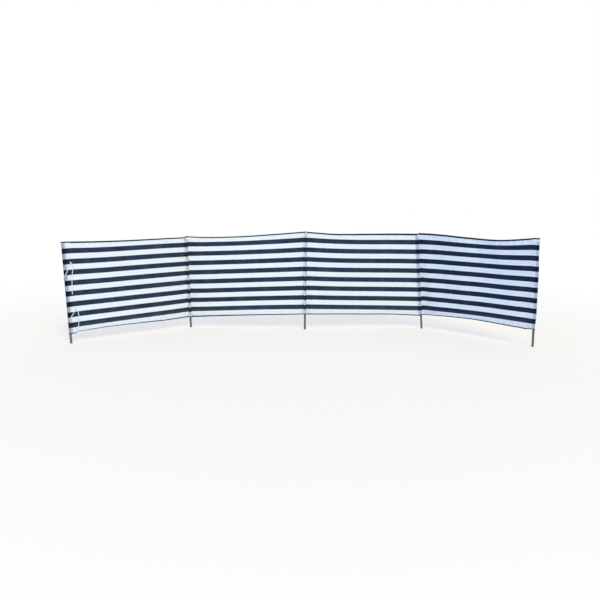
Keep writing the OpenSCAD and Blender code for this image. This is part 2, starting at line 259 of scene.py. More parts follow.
def read_off(stops, far, rows):
    """Rows of values at the given distances along their line."""
    return np.stack([np.interp(stops, far, column) for column in rows.T], -1)


def ripple(seed, *shares):
    """Soft uneven waves of about unit height over the given coordinates."""
    waves, usual_height = 6, 2.4
    rng = np.random.default_rng(seed)
    total = 0
    for _ in range(waves):
        phase = rng.uniform(0, 2 * math.pi)
        arg = phase
        for s, rate in shares:
            arg = arg + s * rate * rng.uniform(0.6, 1.5)
        total = total + np.sin(arg) * rng.uniform(0.5, 1.0)
    return total / usual_height


# Meshes
def grid_faces(rows, columns, flip=False):
    k = np.arange(rows * columns).reshape(rows, columns)
    quads = np.stack([k[:-1, :-1], k[:-1, 1:], k[1:, 1:], k[1:, :-1]], -1).reshape(-1, 4)
    return quads[:, ::-1] if flip else quads


def piece_of(name, points, faces, uv=None, facts=None):
    """A new object with its place in its mesh, its map in metres and its surface facts."""
    points = np.asarray(points, float).reshape(-1, 3)
    mesh = bpy.data.meshes.new(name)
    mesh.from_pydata(points.tolist(), [], [[int(k) for k in face] for face in faces])
    mesh.polygons.foreach_set("use_smooth", [True] * len(mesh.polygons))
    if uv is not None:
        corner = np.empty(len(mesh.loops), int)
        mesh.loops.foreach_get("vertex_index", corner)
        layer = mesh.uv_layers.new(name="cut")
        layer.data.foreach_set("uv", np.asarray(uv, float).reshape(-1, 2)[corner].ravel())
    for fact, values in (facts or {}).items():
        layer = mesh.attributes.new(fact, "FLOAT", "POINT")
        layer.data.foreach_set("value", np.asarray(values, float).ravel())
    mesh.update()
    piece = bpy.data.objects.new(name, mesh)
    bpy.context.scene.collection.objects.link(piece)
    return piece


def thicken(piece, thickness):
    layer = piece.modifiers.new("thickness", "SOLIDIFY")
    layer.thickness = thickness
    layer.offset = 0
    return piece


# Finishes
class Finish:
    """A material with one main shader, and short ways to add its nodes."""

    dull_gloss = 0.15

    def __init__(self, name):
        self.material = bpy.data.materials.new(name)
        self.material.use_nodes = True
        self.tree = self.material.node_tree
        self.tree.nodes.clear()
        self.shader = self.tree.nodes.new("ShaderNodeBsdfPrincipled")
        out = self.tree.nodes.new("ShaderNodeOutputMaterial")
        self.tree.links.new(self.shader.outputs[0], out.inputs["Surface"])

    def put(self, socket, value):
        if isinstance(value, bpy.types.NodeSocket):
            self.tree.links.new(value, socket)
        elif value is not None:
            socket.default_value = value

    def math(self, kind, a, b=None, c=None):
        node = self.tree.nodes.new("ShaderNodeMath")
        node.operation = kind
        for socket, value in zip(node.inputs, (a, b, c)):
            self.put(socket, value)
        return node.outputs[0]

    def spread(self, value, from_low, from_high, low, high):
        node = self.tree.nodes.new("ShaderNodeMapRange")
        node.interpolation_type = "SMOOTHSTEP"
        for socket, v in zip(node.inputs, (value, from_low, from_high, low, high)):
            self.put(socket, v)
        return node.outputs["Result"]

    def mix(self, share, a, b, kind="MIX"):
        node = self.tree.nodes.new("ShaderNodeMix")
        node.data_type = "RGBA"
        node.blend_type = kind
        self.put(node.inputs["Factor"], share)
        self.put(node.inputs[6], a)
        self.put(node.inputs[7], b)
        return node.outputs[2]

    def cut_map(self):
        node = self.tree.nodes.new("ShaderNodeUVMap")
        node.uv_map = "cut"
        return node.outputs[0]

    def places(self):
        return self.tree.nodes.new("ShaderNodeTexCoord").outputs["Object"]

    def scaled(self, vector, scale):
        node = self.tree.nodes.new("ShaderNodeMapping")
        node.vector_type = "POINT"
        self.put(node.inputs["Vector"], vector)
        node.inputs["Scale"].default_value = scale
        return node.outputs[0]

    def split(self, vector):
        node = self.tree.nodes.new("ShaderNodeSeparateXYZ")
        self.put(node.inputs[0], vector)
        return node.outputs

    def grain(self, vector, scale, detail=2.0):
        node = self.tree.nodes.new("ShaderNodeTexNoise")
        self.put(node.inputs["Vector"], vector)
        node.inputs["Scale"].default_value = scale
        node.inputs["Detail"].default_value = detail
        return node.outputs[0]

    def fact(self, name):
        node = self.tree.nodes.new("ShaderNodeAttribute")
        node.attribute_name = name
        return node.outputs["Fac"]

    def bump(self, height, distance, strength=1.0, normal=None):
        node = self.tree.nodes.new("ShaderNodeBump")
        node.inputs["Distance"].default_value = distance
        node.inputs["Strength"].default_value = strength
        self.put(node.inputs["Height"], height)
        self.put(node.inputs["Normal"], normal)
        return node.outputs[0]

    def weave(self, vector, pitch):
        """Plain weave: raised where the two yarns cross over."""
        x, y, _ = self.split(vector)
        turns = 2 * math.pi / pitch
        warp = self.math("SINE", self.math("MULTIPLY", x, turns))
        weft = self.math("SINE", self.math("MULTIPLY", y, turns))
        return self.math("MULTIPLY", warp, weft)

    def finish(self, colour, roughness, normal, sheen=0.0):
        self.put(self.shader.inputs["Base Color"], colour)
        self.put(self.shader.inputs["Roughness"], roughness)
        self.put(self.shader.inputs["Normal"], normal)
        self.shader.inputs["Specular IOR Level"].default_value = self.dull_gloss
        self.shader.inputs["Sheen Weight"].default_value = sheen
        return self.material


def striped_cloth():
    f = Finish("striped_cloth")
    cut = f.cut_map()
    _, high, _ = f.split(cut)
    # Yarns run a little uneven, so a stripe's edge wanders by a fraction of a millimetre
    wander = f.math("MULTIPLY", f.math("SUBTRACT", f.grain(cut, 300), 0.5), stripe_wander)
    up = f.math("SUBTRACT", f.math("ADD", high, wander), first_navy_mid)
    repeats = f.math("DIVIDE", up, stripe_pitch)
    off_mid = f.math("MULTIPLY", f.math("PINGPONG", repeats, 0.5), stripe_pitch)
    navy = f.spread(off_mid, navy_w / 2 - stripe_blur, navy_w / 2 + stripe_blur, 1.0, 0.0)
    slub = f.grain(f.scaled(cut, (30, 900, 1)), 1.0, 3.0)
    faded = f.grain(cut, 7.0, 3.0)
    white = f.mix(slub, (0.838, 0.910, 0.943, 1), (0.901, 0.957, 0.969, 1))
    # Painted shade: the whites of every bay but the second are greyed a little, so the second bay reads
    # lighter
    white = f.mix(f.fact("white_painted_shade"), white, (0.955, 0.961, 0.981, 1), "MULTIPLY")
    dark = f.mix(slub, (0.017, 0.027, 0.064, 1), (0.033, 0.046, 0.090, 1))
    dark = f.mix(f.spread(faded, 0.35, 0.70, 0.0, 0.45), dark, (0.047, 0.061, 0.108, 1))
    # The navy is darker in soft streaks down the cloth
    streak = f.spread(f.grain(f.scaled(cut, (16, 2.2, 1)), 1.0, 3.0), 0.30, 0.70, 0.0, 1.0)
    dark = f.mix(streak, f.mix(1.0, dark, (0.70, 0.72, 0.76, 1), "MULTIPLY"), dark)
    # Painted shade: the navy of the last bay, which is turned from the light, is darker still
    dark = f.mix(f.fact("deep"), dark, (0.48, 0.61, 0.69, 1), "MULTIPLY")
    # An end hem's layers let no light through its dark stripes
    dark = f.mix(f.fact("layered"), dark, (0.26, 0.29, 0.38, 1), "MULTIPLY")
    colour = f.mix(navy, white, dark)
    # Painted shadow: the pole's shadow shows through the thin cloth that lies on it
    pole_shadow_colour = f.mix(navy, (0.375, 0.41, 0.48, 1), (0.17, 0.215, 0.32, 1))
    colour = f.mix(f.fact("pole_painted_shadow"), colour, pole_shadow_colour, "MULTIPLY")
    # Sand dust along the lower edge
    dust = f.math("MULTIPLY", f.spread(high, 0.0, 0.10, 0.22, 0.0), f.grain(cut, 26.0, 4.0))
    colour = f.mix(dust, colour, (0.42, 0.38, 0.30, 1))
    normal = f.bump(f.weave(cut, yarn_pitch), 0.0001, 0.5)
    normal = f.bump(f.grain(cut, 22.0, 3.0), 0.0022, 0.55, normal)
    pucker = f.math("MULTIPLY", f.grain(cut, 70.0, 1.0), f.fact("pucker"))
    normal = f.bump(pucker, 0.0030, 0.8, normal)
    return f.finish(colour, f.spread(slub, 0.2, 0.8, 0.80, 0.94), normal, 0.03)


def navy_binding():
    f = Finish("navy_binding")
    cut = f.cut_map()
    along, across, _ = f.split(cut)
    slant = f.math("ADD", along, across)
    twill = f.math("SINE", f.math("MULTIPLY", slant, 2 * math.pi / binding_twill))
    worn = f.grain(cut, 40.0, 3.0)
    colour = f.mix(worn, (0.008, 0.011, 0.024, 1), (0.026, 0.032, 0.054, 1))
    normal = f.bump(twill, 0.00012, 0.6)
    normal = f.bump(f.grain(cut, 90.0, 2.0), 0.0012, 0.6, normal)
    return f.finish(colour, f.spread(worn, 0.3, 0.7, 0.75, 0.9), normal, 0.05)


def tie_tape():
    f = Finish("tie_tape")
    cut = f.cut_map()
    along, across, _ = f.split(cut)
    # Herringbone: the twill turns back at the tape's middle
    slant = f.math("ADD", along, f.math("ABSOLUTE", across))
    twill = f.math("SINE", f.math("MULTIPLY", slant, 2 * math.pi / tie_twill))
    soil = f.grain(cut, 60.0, 3.0)
    colour = f.mix(soil, (0.68, 0.74, 0.82, 1), (0.80, 0.85, 0.90, 1))
    normal = f.bump(twill, 0.00015, 0.7)
    return f.finish(colour, f.spread(soil, 0.3, 0.7, 0.8, 0.9), normal, 0.08)


def pole_wood():
    f = Finish("pole_wood")
    place = f.places()
    fibre = f.grain(f.scaled(place, (420, 420, 9)), 1.0, 4.0)
    band = f.grain(f.scaled(place, (90, 90, 2.5)), 1.0, 2.0)
    pale = f.spread(fibre, 0.3, 0.7, 0.0, 1.0)
    colour = f.mix(pale, (0.104, 0.096, 0.062, 1), (0.222, 0.207, 0.143, 1))
    colour = f.mix(f.spread(band, 0.45, 0.7, 0.0, 0.5), colour, (0.150, 0.136, 0.092, 1))
    _, _, high = f.split(place)
    damp = f.math("MULTIPLY", f.spread(high, 0.0, 0.035, 0.55, 0.0), f.grain(place, 60.0, 3.0))
    colour = f.mix(damp, colour, (0.070, 0.058, 0.040, 1))
    normal = f.bump(fibre, 0.0004, 0.6)
    return f.finish(colour, f.spread(fibre, 0.3, 0.7, 0.62, 0.8), normal)


def thread(name, pale, deep):
    f = Finish(name)
    twist = f.grain(f.places(), 900.0, 1.0)
    return f.finish(f.mix(twist, deep, pale), 0.8, None)


cloth_finish = striped_cloth()
binding_finish = navy_binding()
tie_finish = tie_tape()
wood_finish = pole_wood()
navy_thread = thread("navy_thread", (0.075, 0.088, 0.135, 1), (0.035, 0.045, 0.080, 1))
grey_thread = thread("grey_thread", (0.46, 0.51, 0.60, 1), (0.30, 0.34, 0.42, 1))
white_thread = thread("white_thread", (0.86, 0.88, 0.90, 1), (0.66, 0.69, 0.72, 1))


def set_on(piece, finish, slot, *nodes):
    piece.data.materials.append(finish)
    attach(piece, "root")
    if nodes:
        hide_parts(*nodes)
    return piece


# Camera
camera_spot = (-0.0471, -5.6927, 1.2944)
camera_pitch, camera_yaw, camera_roll = 9.998, 0.033, 0.62
camera_lens = 35.565

eye = bpy.data.cameras.new("camera")
eye.sensor_width = 36
eye.lens = camera_lens
camera = bpy.data.objects.new("camera", eye)
camera.matrix_world = (
    Matrix.Translation(camera_spot)
    @ Matrix.Rotation(math.radians(camera_yaw), 4, "Z")
    @ Matrix.Rotation(math.radians(90 - camera_pitch), 4, "X")
    @ Matrix.Rotation(math.radians(camera_roll), 4, "Z")
)
bpy.context.scene.collection.objects.link(camera)
bpy.context.scene.camera = camera

# Tie tapes: tails beside the first pole, as distance along the bay, distance out to the viewer's side,
# height up the pole and the way the flat side faces
tie_roots = {"upper": [(0.047, 0.0018, 0.709, 0), (0.051, 0.0022, 0.707, 0)],
             "lower": [(0.056, 0.0018, 0.306, 0), (0.060, 0.0022, 0.304, 0)]}
tie_routes = {
    "upper_tie_front": [
        (0.054, 0.004, 0.705, 0), (0.061, 0.006, 0.695, 0), (0.066, 0.008, 0.675, 0),
        (0.064, 0.008, 0.645, 0), (0.057, 0.008, 0.605, 0), (0.052, 0.008, 0.565, 0),
        (0.048, 0.008, 0.525, 0), (0.045, 0.008, 0.480, 0), (0.043, 0.008, 0.430, 0)],
    "upper_tie_back": [
        (0.053, 0.0024, 0.702, 0), (0.042, 0.006, 0.680, 5), (0.020, 0.012, 0.640, 15),
        (0.004, 0.015, 0.612, 20), (-0.009, 0.012, 0.592, 55), (-0.015, 0.001, 0.578, 95),
        (-0.011, -0.011, 0.562, 140), (-0.004, -0.015, 0.536, 180), (-0.002, -0.016, 0.500, 180),
        (-0.002, -0.016, 0.440, 180)],
    "lower_tie_front": [
        (0.063, 0.004, 0.302, 0), (0.071, 0.006, 0.292, 0), (0.078, 0.008, 0.272, 0),
        (0.081, 0.008, 0.240, 0), (0.080, 0.008, 0.205, 0), (0.075, 0.008, 0.170, 0),
        (0.069, 0.008, 0.135, 0), (0.063, 0.008, 0.096, 0)],
    "lower_tie_back": [
        (0.062, 0.0024, 0.300, 0), (0.046, 0.006, 0.272, 5), (0.022, 0.012, 0.242, 15),
        (0.004, 0.015, 0.222, 20), (-0.009, 0.012, 0.206, 55), (-0.015, 0.001, 0.194, 95),
        (-0.011, -0.011, 0.180, 140), (-0.004, -0.015, 0.158, 180), (-0.002, -0.016, 0.130, 180),
        (-0.002, -0.016, 0.096, 180)],
}


def eased(route, count):
    """Points and facings on one smooth curve through a route's rows, evenly spaced."""
    rows = np.array(route, float)
    padded = np.vstack([2 * rows[0] - rows[1], rows, 2 * rows[-1] - rows[-2]])
    fine = []
    for k in range(len(rows) - 1):
        a, b, c, d = padded[k : k + 4]
        for t in np.linspace(0, 1, route_steps, endpoint=False):
            fine.append(0.5 * (2 * b + (c - a) * t + (2 * a - 5 * b + 4 * c - d) * t ** 2
                               + (3 * b - a - 3 * c + d) * t ** 3))
    fine = np.array(fine + [rows[-1]])
    far = run_of(fine[:, :3])
    return read_off(np.linspace(0, far[-1], count), far, fine)


def tie(name):
    """One tail of a tie tape, along its route."""
    level = name.split("_")[0]
    root = tie_roots[level] if name.endswith("front") else tie_roots[level][1:]
    rows = eased(root + tie_routes[name], tie_steps)
    path = spots(0, rows[:, 0], -rows[:, 1], rows[:, 2])
    way = unit(np.gradient(path, axis=0))
    turn = np.radians(rows[:, 3])
    facing = spots(0, -np.sin(turn), -np.cos(turn), 0) - places[0][:3, 3]
    across = unit(np.cross(facing, way))
    out = np.cross(way, across)
    far = run_of(path)
    # The end is turned under twice, so it is thicker there
    thick = tie_t * (1 + tie_end_extra * smooth((far - far[-1] + tie_end_l) / tie_end_fade))
    half, points, uv = tie_w / 2, [], []
    cup = tie_cup * np.sin(far * tie_cup_turns)
    for k in range(len(path)):
        for a, b in tie_section:
            lift = b * thick[k] / 2 + cup[k] * (a * a - tie_cup_level)
            points.append(path[k] + across[k] * a * half + out[k] * lift)
            uv.append((far[k], a * half))
    m, n = len(tie_section), len(path)
    faces = [(k * m + j, k * m + (j + 1) % m, (k + 1) * m + (j + 1) % m, (k + 1) * m + j)
             for k in range(n - 1) for j in range(m)]
    faces += [tuple(range(m))[::-1], tuple(range((n - 1) * m, n * m))]
    tape = piece_of("tie_" + name, points, faces, uv)
    set_on(tape, tie_finish, "tie_tape", name)
    return tape


for name in tie_routes:
    tie(name)


# Bays of cloth, let hang between their seams
def seam_spot(i, side, z):
    """Points up the seam of pole i, for the bay to its right where side is 1 and to its left at -1."""
    if is_end(i):
        return spots(i, end_gap, 0, z)
    return spots(i, tuck_gap[0], -side * tuck_gap[1], z)


def by_height(top_and_bottom, v):
    top, bottom = top_and_bottom
    return bottom + (top - bottom) * v


def bay_cut(i):
    """The cloth of bay i as it is stretched, before its slack settles: rows from the bottom edge up."""
    v = np.linspace(0, 1, bay_rows + 1)
    u = np.linspace(0, 1, bay_columns + 1)[None, :]
    left = seam_spot(i, 1, foot_hs[i] + v * cloth_h)[:, None, :]
    right = seam_spot(i + 1, -1, foot_hs[i + 1] + v * cloth_h)[:, None, :]
    cloth = left * (1 - u[..., None]) + right * u[..., None]
    v = v[:, None]
    dip = np.sin(math.pi * u ** (math.log(0.5) / math.log(sag_shares[i])))
    cloth[..., 2] += hem_rise_hs[i] * np.sin(math.pi * u) * (1 - v) ** dip_power
    cloth[..., 2] -= sag_hs[i] * dip * v ** dip_power
    ends = (1 - u) * by_height(left_slip[i], v) + u * by_height(right_slip[i], v)
    top, bottom = inner_rise[i]
    inner = top * (v - v ** dip_power) + bottom * (1 - v - (1 - v) ** dip_power)
    cloth[..., 2] += ends + np.sin(math.pi * u) * inner
    cloth[..., 2] += np.sin(2 * math.pi * u) * top_skew[i] * v
    for cut, above in ((top_cut[i], v), (bottom_cut[i], 1 - v)):
        cloth[..., 2] += np.interp(u, cut_stations, cut) * smooth(1 - (1 - above) * cloth_h / cut_depth)
    out = unit(np.cross(right[0, 0] - left[0, 0], (0, 0, 1)))
    wave = bay_wave[i] * ripple(wave_seed + i, *zip((u, v), bay_wave_turns))
    crease = bay_crease[i] * ripple(crease_seed + i, *zip((u, v), bay_crease_turns))
    cloth += out * ((wave + crease) * np.sin(math.pi * u))[..., None]
    return cloth


def blown(i, cloth):
    """The cloth of bay i bellied out to the back by the wind."""
    rows, columns = cloth.shape[:2]
    u, v = np.linspace(0, 1, columns)[None, :], np.linspace(0, 1, rows)[:, None]
    share = edge_belly_share + (1 - edge_belly_share) * np.sin(math.pi * v)
    depth = belly_depths[i] * np.sin(math.pi * u) * share
    return cloth + depth[..., None] * plan(bay_angles[i] + 90)


def settled(cuts):
    """The bays' cloth after its slack has hung out in folds, with the seams and the top edges held."""
    scene = bpy.context.scene
    hung = []
    for i, cut in enumerate(cuts):
        rows, columns = cut.shape[:2]
        cloth = piece_of("hanging_cloth", cut, grid_faces(rows, columns))
        k = np.arange(rows * columns).reshape(rows, columns)
        held = np.unique(np.concatenate([k[:, 0], k[:, -1], k[-1]]))
        cloth.vertex_groups.new(name="held").add(held.tolist(), 1.0, "REPLACE")
        layer = cloth.modifiers.new("hanging", "CLOTH")
        layer.settings.quality = 6
        layer.settings.mass = 0.02
        layer.settings.tension_stiffness = layer.settings.compression_stiffness = 25
        layer.settings.shear_stiffness = 10
        layer.settings.bending_stiffness = 0.2
        layer.settings.vertex_group_mass = "held"
        layer.settings.shrink_min = -bay_slack[i]
        layer.collision_settings.use_collision = False
        layer.point_cache.frame_start, layer.point_cache.frame_end = 1, settle_frames
        hung.append(cloth)
    for frame_number in range(1, settle_frames + 1):
        scene.frame_set(frame_number)
    graph = bpy.context.evaluated_depsgraph_get()
    shapes = []
    for cloth, cut in zip(hung, cuts):
        mesh = cloth.evaluated_get(graph).to_mesh()
        flat = np.empty(len(mesh.vertices) * 3)
        mesh.vertices.foreach_get("co", flat)
        shapes.append(flat.reshape(cut.shape))
    for cloth in hung:
        bpy.data.objects.remove(cloth)
    scene.frame_set(1)
    return shapes


def doubled(points, axis):
    """Rows or columns of points with a smooth one added between each pair."""
    rows = np.moveaxis(points, axis, 0)
    past = np.concatenate([2 * rows[:1] - rows[1:2], rows, 2 * rows[-1:] - rows[-2:-1]])
    finer = np.empty((2 * len(rows) - 1,) + rows.shape[1:])
    finer[::2] = rows
    finer[1::2] = (9 * (past[1:-2] + past[2:-1]) - past[:-3] - past[3:]) / 16
    return np.moveaxis(finer, 0, axis)


def gathered(i, cloth):
    """The cloth of bay i on a finer mesh, with the gathers that its sewing has drawn into it."""
    cloth = doubled(doubled(cloth, 0), 1)
    rows, columns = cloth.shape[:2]
    x, z = np.linspace(0, bay_w, columns)[None, :], np.linspace(0, cloth_h, rows)[:, None]
    turns = 2 * math.pi / gather_pitch
    off_seam = smooth(np.minimum(x, bay_w - x) / gather_pitch)
    height = 0
    for k, away in enumerate((z, cloth_h - z)):
        fade = np.exp(-np.maximum(away - gather_tape, 0) / gather_fade)
        height = height + ripple(gather_seed + 4 * i + k, (x, turns)) * off_seam * fade
    for k, away in enumerate((x, bay_w - x)):
        swell = away / gather_fade * np.exp(1 - away / gather_fade)
        height = height + ripple(gather_seed + 4 * i + 2 + k, (z, turns)) * swell
    cloth = cloth + (gather_h * height)[..., None] * plan(bay_angles[i] + 90)
    # The folded tape keeps the cloth straight between its two legs
    cloth[1], cloth[-2] = (cloth[0] + cloth[2]) / 2, (cloth[-1] + cloth[-3]) / 2
    return cloth


cuts = [bay_cut(i) for i in BAYS]
hung_cuts = settled(cuts)
bay_shapes = [gathered(i, blown(i, cloth)) for i, cloth in enumerate(hung_cuts)]


def turned_in(i, side, end):
    """Columns that carry a bay's cloth from its end column into the seam of tunnel i."""
    z = foot_hs[i] + np.linspace(0, 1, len(end)) * cloth_h
    if is_end(i):
        columns = [spots(i, x, 0, z) for x in (end_reach, end_reach - end_turn)]
    else:
        columns = [spots(i, x, -side * y, z) for x, y in tuck_turns]
    return [end + column - seam_spot(i, side, z) for column in columns]


def bay_cloth(i):
    """The cloth of bay i from seam to seam, and its width along the middle row."""
    shape = bay_shapes[i]
    first, last = turned_in(i, 1, shape[:, 0]), turned_in(i + 1, -1, shape[:, -1])
    columns = first[::-1] + [shape[:, k] for k in range(shape.shape[1])] + last
    points = np.stack(columns, 1)
    rows, count = points.shape[:2]
    far = run_of(points[rows // 2])
    v = np.linspace(0, cloth_h, rows)
    uv = np.stack(np.broadcast_arrays(far[None, :], v[:, None]), -1)
    edge = np.minimum(np.minimum(far, far[-1] - far)[None, :], np.minimum(v, cloth_h - v)[:, None])
    # Painted shade: how far each bay's whites are greyed and its navy deepened
    facts = {"pucker": np.exp(-edge / bay_pucker), "deep": np.full(edge.shape, bay_navy_painted_shade[i]),
             "white_painted_shade": np.full(edge.shape, bay_white_painted_shade[i])}
    cloth = piece_of(f"bay_cloth_{i + 1}", points, grid_faces(rows, count), uv, facts)
    thicken(cloth, cloth_t)
    set_on(cloth, cloth_finish, "striped_cloth", f"panel_{i + 1}")
    return cloth, far[-1]


# Stitches, gathered as rows of points with the way they run and the way they face
stitch_rows = {"binding": [], "seam": [], "tie": []}


def add_stitches(kind, line, facing):
    """Stitches at an even pitch along a line of points, lying on a surface that faces the given way."""
    far = run_of(line)
    even = np.arange(stitch_pitch, far[-1] - stitch_pitch / 2, stitch_pitch)
    if len(even) == 0:
        return
    way = unit(np.gradient(line, axis=0))
    columns = [read_off(even, far, rows) for rows in (line, way, facing)]
    stitch_rows[kind].append(np.concatenate(columns, 1))


def folded_tape(name, edge, inward, facing, leg, gap, slot_nodes, tips=(1.0, 1.0), seed=0):
    """Tape folded over a cloth's edge: a leg on each side and a round fold along the edge."""
    half = gap + tape_t / 2 + sliver
    far = run_of(edge)
    leg = np.linspace(*np.broadcast_to(leg, 2), len(far))
    uneven = ripple(seed, (far, leg_uneven_turns)) * leg_uneven
    lift = (ripple(seed + 1, (far, leg_loose_turns)) * 0.5 + 0.5) * leg_loose
    squeeze = np.ones(len(far))
    squeeze[0], squeeze[-1] = tips
    points, uv = [], []
    for a, b in tape_section:
        deep = leg * a + (uneven if a > 0.5 else 0) - (half * fold_share if a < 0 else 0)
        out = half * b * squeeze + np.sign(b) * (lift if a == 1 else 0)
        points.append(edge + inward * np.broadcast_to(deep, far.shape)[:, None] + facing * out[:, None])
        uv.append(np.stack([far, a * leg * (1 if b > 0 else -1)], -1))
    points, uv = np.stack(points, 0), np.stack(uv, 0)
    tape = piece_of(name, points, grid_faces(len(tape_section), len(far)), uv)
    thicken(tape, tape_t)
    set_on(tape, binding_finish, "navy_binding", *slot_nodes)
    for side in (1, -1):
        row = edge + inward * (leg - tape_row)[:, None] + facing * (side * (half + tape_t / 2 + sliver))
        add_stitches("binding", row, facing * side)
    return tape


def along_edge(points, inner, insets):
    """A bay's edge between its binding's ends, with the way into the cloth and the way it faces."""
    far = run_of(points)
    first, last = insets[0], far[-1] - insets[1]
    stops = np.concatenate([[first], far[(far > first) & (far < last)], [last]])
    edge, deeper = read_off(stops, far, points), read_off(stops, far, inner)
    inward = unit(deeper - edge)
    facing = unit(np.cross(np.gradient(edge, axis=0), inward))
    return edge, inward, facing


for i in BAYS:
    cloth, flat_w = bay_cloth(i)
    shape = bay_shapes[i]
    top = along_edge(shape[-1], shape[-3], seam_insets[i : i + 2])
    bottom = along_edge(shape[0], shape[2], seam_insets[i : i + 2])
    tapes = [
        folded_tape(f"top_tape_{i + 1}", *top, top_legs[i], cloth_t / 2,
                    [f"top_binding_{i + 1}"], seed=top_seed + i),
        folded_tape(f"bottom_tape_{i + 1}", *bottom, bottom_legs[i], cloth_t / 2,
                    [f"bottom_binding_{i + 1}"], seed=bottom_seed + i),
    ]


# Tunnels round the poles
def seam_reach(i):
    return end_reach if is_end(i) else tuck_reach


def wall_and_girth(reach):
    """Length of a tunnel's straight wall between its pole and its seam, and the whole way round."""
    wall = math.sqrt(reach ** 2 - sleeve_r ** 2)
    arc = sleeve_r * (2 * math.pi - 2 * math.acos(sleeve_r / reach))
    return wall, 2 * wall + arc


def round_section(t, r, reach):
    """Points of a tunnel's section round its pole, from the seam on one side to that on the other."""
    wall, girth = wall_and_girth(reach)
    t1 = wall / girth
    a0 = math.acos(r / reach)
    a = a0 + (2 * math.pi - 2 * a0) * np.clip((t - t1) / (1 - 2 * t1), 0, 1)
    pull = np.clip(np.minimum(t, 1 - t) / t1, 0, 1)
    x = reach + (r * np.cos(a) - reach) * pull
    y = -r * np.sin(a) * pull
    least = cloth_t / 2 + sliver / 2
    side = np.where(t < 0.5, -1, 1)
    return x, np.where(pull < 1, side * np.maximum(np.abs(y), least), y)


def lip_length(reach):
    """Length of a tunnel's closed lip. The wide end lips are gathered a little."""
    _, girth = wall_and_girth(reach)
    return min(girth / 2, reach + (end_lip_out if reach == end_reach else lip_out))


def flat_section(t, reach):
    """The same section pressed flat along the seam's direction."""
    _, girth = wall_and_girth(reach)
    s = np.minimum(t, 1 - t) * 2 * lip_length(reach)
    y = (cloth_t / 2 + sliver / 2) * np.clip(np.abs(t - 0.5) * girth / lip_round, 0, 1)
    return reach - s, np.where(t < 0.5, -y, y)


def eared(i, x, y, drop):
    """Folds the front corner of the second tunnel's lip over to the left. Drop is the height from the
    lip's top, and is negative below it."""
    if i != ear_pole:
        return x, y, drop
    run = unit(np.subtract(ear_to, ear_from))
    nx, nz = run[1], -run[0]
    past = (x - ear_from[0]) * nx + (drop - ear_from[1]) * nz
    turn = np.clip(past / ear_bend, 0, ear_turn)
    beyond = np.maximum(past - ear_bend * ear_turn, 0)
    ahead = ear_bend * np.sin(turn) + beyond * math.cos(ear_turn) - y * np.sin(turn)
    aside = ear_bend * (1 - np.cos(turn)) + beyond * math.sin(ear_turn) + y * np.cos(turn)
    shift = np.where(past > 0, ahead - past, 0)
    return x + nx * shift, np.where(past > 0, aside, y), drop + nz * shift


def tunnel_rows():
    """Heights of a tunnel's rows of points, closer together at its foot and its closing top."""
    closing = cloth_h - lip_h - closing_h
    return np.concatenate([np.linspace(0, foot_rows_h, foot_rows),
                           np.linspace(foot_rows_h, closing, wall_rows)[1:],
                           np.linspace(closing, cloth_h, closing_rows)[1:]])


def tunnel_shape(i):
    """Rows of points of tunnel i's cloth, from its foot up."""
    reach = seam_reach(i)
    wall, girth = wall_and_girth(reach)
    t = np.linspace(0, 1, ring_steps + 1)
    t1 = wall / girth
    loose = np.clip(np.minimum(t, 1 - t) / t1, 0, 1)
    loose = np.sin(math.pi * loose) * (loose < 1)
    rows = []
    for h in tunnel_rows():
        r = sleeve_r + foot_flare * math.exp(-h / foot_flare_h)
        closed = float(smooth((h - (cloth_h - lip_h - closing_h)) / closing_h))
        round_x, round_y = round_section(t, r, reach)
        flat_x, flat_y = flat_section(t, reach)
        x, y = round_x + (flat_x - round_x) * closed, round_y + (flat_y - round_y) * closed
        side = np.where(t < 0.5, -1, 1)
        swayed = ripple(sway_seed + i, *zip((np.full_like(t, h), t), sway_turns)) * sway
        swayed = swayed * loose * (1 - closed)
        gather = ripple(lip_seed + i, (t, lip_gather_turns)) * lip_gather
        gather = gather * math.sin(math.pi * closed) * np.sin(math.pi * t)
        loose_here = outer_loose[i] * smooth((loose_top - h) / loose_fade) * smooth(h / loose_fade)
        x = x - loose_here * np.sin(math.pi * t) ** loose_power
        x, y, drop = eared(i, x, y + side * (swayed + gather), np.full_like(t, h - cloth_h))
        rows.append(spots(i, x, y, foot_hs[i] + cloth_h + lip_rises[i] * closed + drop))
    return np.stack(rows, 0), t, girth


